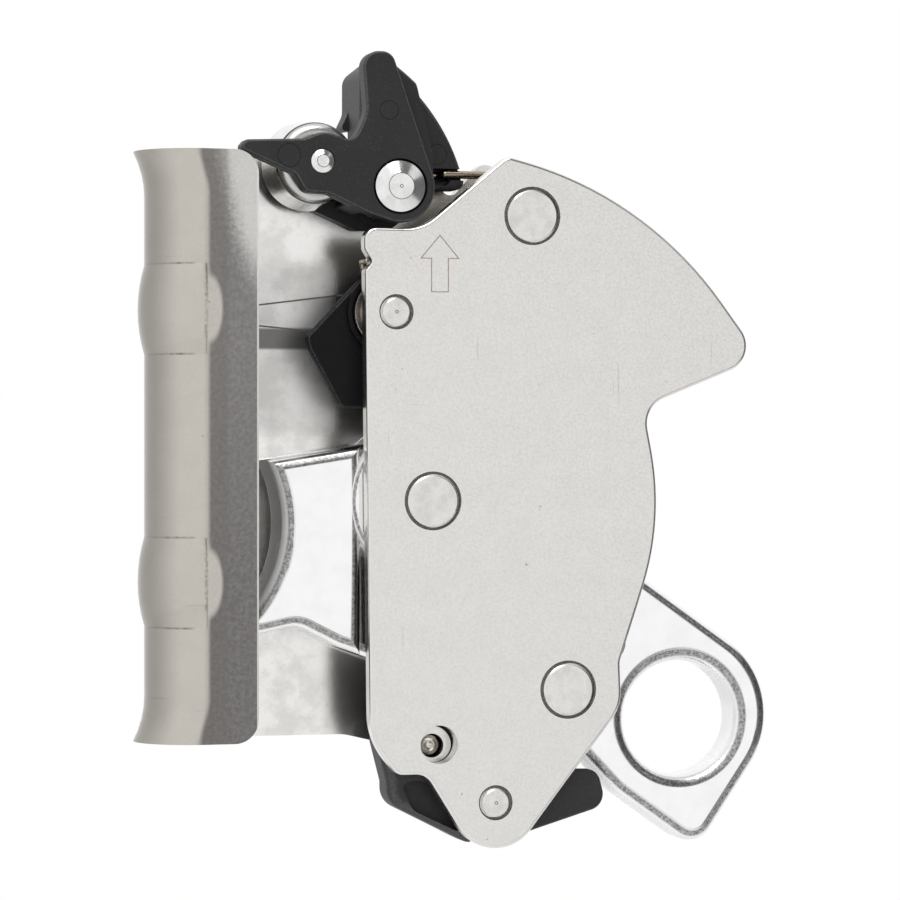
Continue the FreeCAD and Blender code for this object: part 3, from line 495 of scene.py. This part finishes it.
PLATE = sheet_steel("plate_steel", (0.765, 0.752, 0.727), (0.745, 0.734, 0.71), 0.22)
BODY = sheet_steel("body_steel", (0.755, 0.742, 0.717), (0.725, 0.715, 0.69), 0.20, wear_and_shade=True)
RIVET = turned_steel("rivet_steel", (0.76, 0.75, 0.72), 0.16)
POLISHED = turned_steel("pin_steel", (0.84, 0.84, 0.83), 0.15)
ROLLER = turned_steel("roller_band", (0.84, 0.84, 0.83), 0.07, groove=-4.25)
DETENT = turned_steel("detent_dome", (0.70, 0.67, 0.62), 0.20)
WIRE = turned_steel("spring_steel", (0.36, 0.31, 0.23), 0.24)
BRONZE = turned_steel("bush_bronze", (0.55, 0.42, 0.24), 0.30)
FORGED = polished_aluminium("forged_aluminium")
BLACK = black_plastic("black_nylon")
GATE = black_plastic("gate_nylon", (0.0058, 0.0058, 0.0068), gloss=0.13, fleck=0.2)
ROCKER = black_plastic("rocker_nylon", (0.0185, 0.0183, 0.0183), gloss=0.42, fleck=0.85)
INK = marking_ink("laser_mark", (0.30, 0.22, 0.16), (0.47, 0.39, 0.31))
SHADOW_INK = marking_ink("seam_shadow", (0.075, 0.066, 0.055), (0.22, 0.20, 0.18))
CREASE = marking_ink("crease_shadow", (0.14, 0.13, 0.12), (0.26, 0.24, 0.22))
DENT = marking_ink("moulded_ring", (0.004, 0.004, 0.004), (0.012, 0.012, 0.012))

LOOKS = {
    "rear_body": BODY, "front_plate": PLATE, "plate_spacers": RIVET, "plate_rivets": RIVET,
    "cam_pivot_rivet": RIVET, "gate_rivet": RIVET, "rocker_rivet": RIVET, "lever_pivot_pin": POLISHED,
    "gate_washer": RIVET, "gate_spring": WIRE, "cam_lever": FORGED, "cam_bush": BRONZE,
    "cam_spring": WIRE, "roller_lever": BLACK, "roller_axle": POLISHED, "rope_roller": ROLLER,
    "safety_catch": BLACK, "catch_spring": WIRE, "rope_gate": GATE, "release_rocker": ROCKER,
    "rocker_spring": WIRE, "detent_plunger": DETENT, "detent_collar": RIVET, "detent_spring": WIRE,
}
for name, look in LOOKS.items():
    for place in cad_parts[name].material_slots:
        place.material = look


# ---- small marks: (x, z) points and sizes in millimetres ----
def lay_on(name, verts, faces, look, body):
    mesh = bpy.data.meshes.new(name)
    mesh.from_pydata(verts, [], faces)
    mesh.materials.append(look)
    piece = bpy.data.objects.new(name, mesh)
    bpy.context.scene.collection.objects.link(piece)
    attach(piece, body)


def strip(name, points, width, depth, closed, look, body):
    """A thin flat line through points on a face of constant depth."""
    corners = [Vector((x, 0, z)) for x, z in points]
    count = len(corners)
    left = []
    right = []
    for i, corner in enumerate(corners):
        before = corners[i - 1] if closed or i > 0 else corner
        after = corners[(i + 1) % count] if closed or i < count - 1 else corner
        leaving = (after - corner).normalized()
        arriving = (corner - before).normalized() if corner != before else leaving
        if after == corner:
            leaving = arriving
        side = Vector((-arriving.z, 0, arriving.x))
        across = (side + Vector((-leaving.z, 0, leaving.x))).normalized()
        reach = width / 2 / max(SHARPEST_CORNER, across.dot(side))
        left.append(corner + across * reach)
        right.append(corner - across * reach)
    verts = [(p.x * MM, depth * MM, p.z * MM) for p in left + right]
    faces = []
    for i in range(count if closed else count - 1):
        j = (i + 1) % count
        faces.append((i, j, count + j, count + i))
    lay_on(name, verts, faces, look, body)


def ring(name, centre, inner, outer, depth, look, body, shift=0.0):
    """A thin flat ring on a face of constant depth. shift moves its inner edge sideways, so that one
    side is wider."""
    verts = []
    for radius, move in ((inner, shift), (outer, 0.0)):
        for i in range(RING_SIDES):
            turn = math.tau * i / RING_SIDES
            verts.append(((centre[0] + move + radius * math.cos(turn)) * MM, depth * MM,
                          (centre[1] + radius * math.sin(turn)) * MM))
    faces = []
    for i in range(RING_SIDES):
        j = (i + 1) % RING_SIDES
        faces.append((i, j, RING_SIDES + j, RING_SIDES + i))
    lay_on(name, verts, faces, look, body)


GATE_RIVET = (29.9, 21.6)
ROCKER_RIVET = (46.5, -57.7)
LEVER_PIN = (30.6, 41.8)

ARROW = [(37.15, 34.0), (34.0, 30.3), (35.75, 30.3), (35.75, 24.9), (38.55, 24.9), (38.55, 30.3),
         (40.3, 30.3)]
strip("up_arrow_mark", ARROW, ARROW_LINE, PLATE_FACE - MARK_LIFT, True, INK, "frame")

# painted shadow in the groove round each rivet's head: centre, head radius, shift of its inner edge
SEAMS = {
    "seam_upper": ((52.7, 37.4), 4.2, 0.2),
    "seam_stop": ((58.8, -39.6), 4.2, 0.2),
    "seam_cam": ((36.0, -8.8), 4.2, 0.2),
    "seam_gate": (GATE_RIVET, 2.3, -0.2),
    "seam_rocker": (ROCKER_RIVET, 2.3, -0.2),
}
for name, (centre, head, shift) in SEAMS.items():
    ring(name, centre, head + SEAM_EDGES[0], head + SEAM_EDGES[1], PLATE_FACE + SEAM_SINK, SHADOW_INK,
         "frame", shift)

# moulded rings, and painted shade rings for centre marks and the edges of small flats: centre,
# radius, face, look, body, slot
RINGS = {
    "cheek_ring_nose": ((12.25, 46.4), 1.87, PLATE_FACE, DENT, "roller_arm", "black_nylon"),
    "cheek_ring_top": ((28.7, 54.0), 1.5, PLATE_FACE, DENT, "roller_arm", "black_nylon"),
    "fan_ring": ((38.8, 47.7), 1.65, CATCH_FACE, DENT, "catch", "black_nylon"),
    "pin_centre": (LEVER_PIN, 0.24, PIN_FACE, SHADOW_INK, "frame", "rivet_steel"),
    "gate_rivet_centre": (GATE_RIVET, 0.22, RIVET_FACE, SHADOW_INK, "frame", "rivet_steel"),
    "rocker_rivet_centre": (ROCKER_RIVET, 0.22, RIVET_FACE, SHADOW_INK, "frame", "rivet_steel"),
    "pin_flat_edge": (LEVER_PIN, 2.1, PIN_FACE, SHADOW_INK, "frame", "rivet_steel"),
    "axle_flat_edge": ((17.8, 45.6), 1.0, AXLE_FACE, SHADOW_INK, "roller_arm", "roller_steel"),
}
for name, (centre, radius, face, look, body, slot) in RINGS.items():
    ring(name, centre, radius - RING_LINE_HALF, radius + RING_LINE_HALF, face - MARK_LIFT, look, body)

# painted shadow lines along the edges of the hollow that the upper ring bead leaves in the rear plate
CREASES = {"crease_upper": [(8.0, 22.75), (24.9, 24.9)], "crease_lower": [(8.0, 19.95), (19.5, 18.9)]}
for name, points in CREASES.items():
    strip(name, points, CREASE_LINE, INNER_FACE - CREASE_LIFT, False, CREASE, "frame")


# ---- stage, light and camera ----
# The room's light goes by three cosines of a direction: ahead, which is where the part's flat faces
# look as seen from the camera, to the right of that, and up. Each pair is one soft edge.
ROOM_CORE = (0.945, 0.982)      # white straight ahead
ROOM_WALL = (0.15, 0.42)        # white from the sides round to the back
ROOM_LEFT = (-0.34, -0.16)      # white on the left
DARK_RIGHT = (0.30, 0.50)       # a dark part of the right wall: how far right, high and back it goes
DARK_HEIGHT = (0.40, 0.62)
DARK_AHEAD = (-0.20, 0.0)
BOX_EDGE = (0.972, 0.99)        # two weaker boxes, to the right and either above or below
BOX_RIGHT = 0.50
BOX_AHEAD = 0.72
BOX_TILT = 0.48
BOX_LIGHT = 0.75
ROOM_DARKEST = 0.16
ROOM_LIGHTEST = 1.0
PART_MIDDLE = (0.04, 0.0, 0.0)


def stage_floor():
    mat, tree = new_material("studio_floor")
    bsdf = shader(tree, metallic=0.0, ior_level=0.2)
    soft = noise(tree, object_space(tree), scale=3.0, detail=2.0)
    link(tree, mixed(tree, soft, FLOOR_SHADE, FLOOR_PALE), bsdf.inputs["Base Color"])
    bsdf.inputs["Roughness"].default_value = 0.8
    bpy.ops.mesh.primitive_circle_add(vertices=96, radius=0.85, fill_type="NGON",
                                      location=(0.04, 0, -0.30))
    floor = bpy.context.object
    floor.name = "studio_floor"
    floor.data.materials.append(mat)


def along(tree, coords, axis):
    """How much of a direction lies along an axis, as -1..1."""
    made = node(tree, "ShaderNodeVectorMath", operation="DOT_PRODUCT")
    link(tree, coords, made.inputs[0])
    made.inputs[1].default_value = axis
    return made.outputs["Value"]


def room_light(tree):
    """White where the flat faces look, a dark room round that, white walls beyond, two side boxes."""
    coords = node(tree, "ShaderNodeTexCoord").outputs["Generated"]
    turn = math.radians(VIEW_TURN)
    sine, cosine = math.sin(turn), math.cos(turn)
    ahead = along(tree, coords, (sine, -cosine, 0.0))
    right = along(tree, coords, (cosine, sine, 0.0))
    height = math_node(tree, "ABSOLUTE", along(tree, coords, (0.0, 0.0, 1.0)))
    dark_side = product(tree, rise(tree, right, DARK_RIGHT), fall(tree, height, DARK_HEIGHT),
                        rise(tree, ahead, DARK_AHEAD))
    wall = product(tree, fall(tree, ahead, ROOM_WALL), inverse(tree, dark_side))
    light = chained(tree, "MAXIMUM", rise(tree, ahead, ROOM_CORE), wall,
                    fall(tree, right, ROOM_LEFT))
    for tilt in (BOX_TILT, -BOX_TILT):
        box = along(tree, coords, (BOX_RIGHT * cosine + BOX_AHEAD * sine,
                                   BOX_RIGHT * sine - BOX_AHEAD * cosine, tilt))
        light = math_node(tree, "MAXIMUM", light, rise(tree, box, BOX_EDGE, top=BOX_LIGHT))
    return remap(tree, light, (0.0, 1.0), ROOM_DARKEST, ROOM_LIGHTEST)


def studio_world():
    """The room lights the part, and the camera sees plain white behind it."""
    world = bpy.data.worlds.new("studio")
    bpy.context.scene.world = world
    world.use_nodes = True
    tree = world.node_tree
    tree.nodes.clear()
    room = node(tree, "ShaderNodeBackground")
    link(tree, room_light(tree), room.inputs["Color"])
    room.inputs["Strength"].default_value = 1.0
    white = node(tree, "ShaderNodeBackground")
    white.inputs["Color"].default_value = WHITE
    white.inputs["Strength"].default_value = 1.0
    both = node(tree, "ShaderNodeMixShader")
    link(tree, node(tree, "ShaderNodeLightPath").outputs["Is Camera Ray"], both.inputs["Fac"])
    link(tree, room.outputs["Background"], both.inputs[1])
    link(tree, white.outputs["Background"], both.inputs[2])
    out = node(tree, "ShaderNodeOutputWorld")
    link(tree, both.outputs["Shader"], out.inputs["Surface"])


def area_light(name, place, size, watts):
    data = bpy.data.lights.new(name, "AREA")
    data.shape = "RECTANGLE"
    data.size, data.size_y = size
    data.energy = watts
    lamp = bpy.data.objects.new(name, data)
    lamp.location = place
    toward = Vector(PART_MIDDLE) - Vector(place)
    lamp.rotation_euler = toward.to_track_quat("-Z", "Y").to_euler()
    bpy.context.scene.collection.objects.link(lamp)


def studio_camera():
    turn = math.radians(VIEW_TURN)
    target = Vector(VIEW_TARGET) * MM
    data = bpy.data.cameras.new("camera")
    data.lens = VIEW_LENS
    data.sensor_width = 36.0
    data.clip_start = 0.01
    camera = bpy.data.objects.new("camera", data)
    camera.location = target - Vector((math.sin(turn), math.cos(turn), 0)) * VIEW_DISTANCE * MM
    camera.rotation_euler = (math.pi / 2, 0.0, -turn)
    bpy.context.scene.collection.objects.link(camera)
    bpy.context.scene.camera = camera


stage_floor()
studio_world()
area_light("top_soft", place=(-0.10, -0.35, 0.75), size=(0.7, 0.5), watts=4.0)
studio_camera()
bpy.context.scene.view_settings.view_transform = "Standard"
